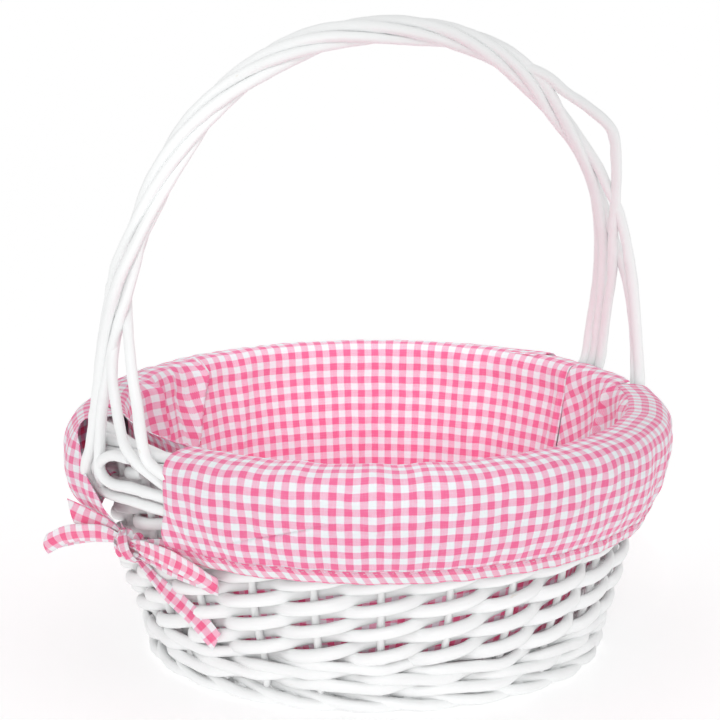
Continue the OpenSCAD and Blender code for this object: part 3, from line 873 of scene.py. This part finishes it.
def knot(center):
    """The crumpled knot: a puckered turn of ribbon round the others, and a flat turn across it."""
    around = np.radians(np.linspace(-8, 368, 61))[:, None]
    along = np.linspace(-1, 1, 25)[None]
    swell = np.clip(1 - np.abs(along) ** 2.6, 0, 1) ** 0.5
    folds = 1 + 0.1 * np.sin(5 * around + 3 * along) + 0.07 * np.sin(9 * around - 5 * along + 1)
    folds = folds - 0.2 * hump(along + 0.15 * np.sin(around * 2), 0.13)
    size = (0.22 + 0.78 * swell) * folds
    x, y = -KNOT_DEEP * size * np.cos(around), KNOT_WIDE * along + 0 * around
    up = KNOT_TALL * size * np.sin(around)
    points = np.stack([x, y - KNOT_TILT * up, up + KNOT_TILT * y], axis=-1) + center
    uv = np.stack([6.4 * around + 0 * along, 9 * along + 0 * around], axis=-1)
    band = ribbon(
        np.array(KNOT_BAND) + center, [(0.1, 1, -0.2), (0.2, 1, -0.35), (0.1, 1, -0.2)], 7.0,
        pinch=[(0, 0.25, 0.5), (1, 0.25, 0.5), (0.5, 0.2, 0.85)], cup=1.1, seed=8, start=3,
    )
    return [turn_about(part, center, KNOT_TURN) for part in (skin(points, uv, CLOTH), band)]


def turn_about(part, center, angle):
    """The part turned about an upright line through the center."""
    v, f, uv = part
    c, s = math.cos(math.radians(angle)), math.sin(math.radians(angle))
    spin = np.array([[c, s, 0], [-s, c, 0], [0, 0, 1]])
    return (v - center) @ spin + center, f, uv


def build_bows():
    """The four ties. The right foot's are the left foot's, turned half round the basket."""
    slant = [(0.1, -0.9, 0.2), (0.5, -0.3, 0.8), (0.5, -0.3, 0.8)]
    lean = [(0, 0.15, 1), (0, 0.2, 1), (0, 0.25, 1), (0, 0.2, 1)]
    ends = [(0, 0.12, 0.45), (1, 0.12, 0.45)]
    front = [
        ribbon(STRAP_FRONT, UP, pinch=[(1, 0.5, 0.55)], seed=1),
        ribbon(LOOP_FRONT, lean, pinch=ends + [(0.47, 0.07, 0.85)], seed=2, tip=3.2),
        ribbon(TAIL_FRONT, slant, pinch=[(0, 0.35, 0.4)], seed=3, start=2, cut=-3.5),
    ]
    back = [
        ribbon(STRAP_BACK, UP, pinch=[(1, 0.5, 0.55)], seed=4),
        ribbon(LOOP_BACK, [(0, 0, 1), (-0.1, 0, 1), (-0.2, 0, 1), (0, 0, 1)],
               pinch=[(0, 0.1, 0.5), (1, 0.16, 0.45)], seed=6, start=1, tip=2.4),
        ribbon(TIP_BACK, [(0, 0, 1), (0.3, 0.2, 1)], 10.0, pinch=[(0, 0.4, 0.4)], seed=7, cut=9),
    ] + knot(KNOT)
    tucked = [
        back[0],
        ribbon(LOOP_SIDE, lean, pinch=ends, seed=9, start=2),
        ribbon(TIP_SIDE, [(0.1, 0.9, 0.2), (0.1, 0.62, 0.75)], pinch=[(0, 0.35, 0.4)], seed=10),
    ] + knot(KNOT)
    pieces = {"left_front": front, "left_back": back}
    for side, parts in (("right_back", front), ("right_front", tucked)):
        pieces[side] = [turn_about(part, (0, 0, 0), 180) for part in parts]
    return {
        side: cloth(f"tie_{side}", parts, TRIM, [f"tie_{side}"])
        for side, parts in pieces.items()
    }


SEAM = 3.8

# Folds of the wall: (degrees, height) at both ends, depth, and width on the gentle and steep side.
BACK_FOLDS = [
    ((128.5, 88), (128.1, 136), 7.5, 8, 0.7), ((121, 84), (118, 126), 2.4, 6, 4),
    ((115.4, 78), (104, 136), 6.5, 8, 0.7), ((97, 70), (92, 118), 1.6, 9, 2.5),
    ((64, 60), (58, 120), 1.6, 9, 3), ((30, 70), (36, 128), 1.8, 8, 2.5),
    ((5.2, 50), (5.2, 132), 2.2, 5, 1.2),
]
FRONT_FOLDS = [
    ((-12, 70), (-18, 134), 3.4, 7, 1.5), ((-40, 60), (-32, 125), 2.4, 8, 2.5),
    ((-95, 60), (-88, 120), 1.8, 9, 3), ((-150, 60), (-144, 124), 2.6, 8, 2),
]


def build_liner():
    floor = build_floor()
    back = liner_wall(
        "liner_wall_back", SEAM, 180 + SEAM - 0.4, 41, BACK_FOLDS,
        ([0, 40, 105, 130, 185], [-1, 0, 0, 1.5, 2]), ([0, 150, 158], [ROLL_REACH, ROLL_REACH, 0.3]),
    )
    front = liner_wall(
        "liner_wall_front", SEAM - 180, SEAM - 0.4, 43, FRONT_FOLDS,
        ([-180, -100, -60, -32, 5], [1, 2, 6, 24, 33]), ([-17, -13], [0.3, ROLL_REACH]),
    )
    cuff_front, hem_front = build_cuff("front")
    cuff_back, hem_back = build_cuff("back")
    ties = build_bows()


# ---- stage ----


def spot_light(name, place, target, radius, angle, blend, power):
    data = bpy.data.lights.new(name, "SPOT")
    data.shadow_soft_size = radius
    data.spot_size = math.radians(angle)
    data.spot_blend = blend
    data.energy = power
    lamp = bpy.data.objects.new(name, data)
    lamp.location = place
    lamp.rotation_euler = (Vector(target) - Vector(place)).to_track_quat("-Z", "Y").to_euler()
    bpy.context.scene.collection.objects.link(lamp)


FLOOR_GLOW, SKY = 0.36, 0.8


def build_stage():
    """A white floor and sky, a low lamp on the wicker, and one through the opening."""
    reach = 6.0
    corners = np.array([(-reach, -reach, 0), (reach, -reach, 0), (reach, reach, 0), (-reach, reach, 0)])
    floor = new_object("floor", corners / MM, [[0, 1, 2, 3]], [False])
    floor.data.materials.append(plain("pale_floor", (0.8, 0.8, 0.8, 1), 0.9, FLOOR_GLOW))
    world = bpy.data.worlds.new("studio")
    world.use_nodes = True
    world.node_tree.nodes["Background"].inputs[0].default_value = (1, 1, 1, 1)
    world.node_tree.nodes["Background"].inputs[1].default_value = SKY
    bpy.context.scene.world = world
    spot_light("key", (-1.0, -1.3, 0.35), (-0.03, -0.05, 0.01), 0.25, 15.5, 1.0, 58)
    spot_light("inner", (-0.55, -0.95, 1.0), (0.045, 0.075, 0.085), 0.05, 11.5, 0.7, 42)


CAMERA_TURN, CAMERA_RISE, CAMERA_DISTANCE, CAMERA_TARGET = -31.82, 14.08, 1.59433, (0, 0, 0.12)
CAMERA_LENS, AIM_RIGHT, AIM_UP = 155.1, -0.00484, 0.01796


def build_camera():
    """Stands where the whole object fills the frame, a little above it and to the left."""
    azimuth, elevation = math.radians(CAMERA_TURN), math.radians(CAMERA_RISE)
    back = Vector((
        math.sin(azimuth) * math.cos(elevation),
        -math.cos(azimuth) * math.cos(elevation),
        math.sin(elevation),
    ))
    right = Vector((math.cos(azimuth), math.sin(azimuth), 0))
    up = back.cross(right)
    data = bpy.data.cameras.new("camera")
    data.lens = CAMERA_LENS
    data.sensor_width = 36
    camera = bpy.data.objects.new("camera", data)
    camera.location = Vector(CAMERA_TARGET) + CAMERA_DISTANCE * back
    aim = -back + AIM_RIGHT * right + AIM_UP * up
    camera.rotation_euler = aim.to_track_quat("-Z", "Y").to_euler()
    bpy.context.scene.collection.objects.link(camera)
    bpy.context.scene.camera = camera


build_wicker()
build_handle()
build_liner()
build_stage()
build_camera()
bpy.context.scene.view_settings.view_transform = "Standard"
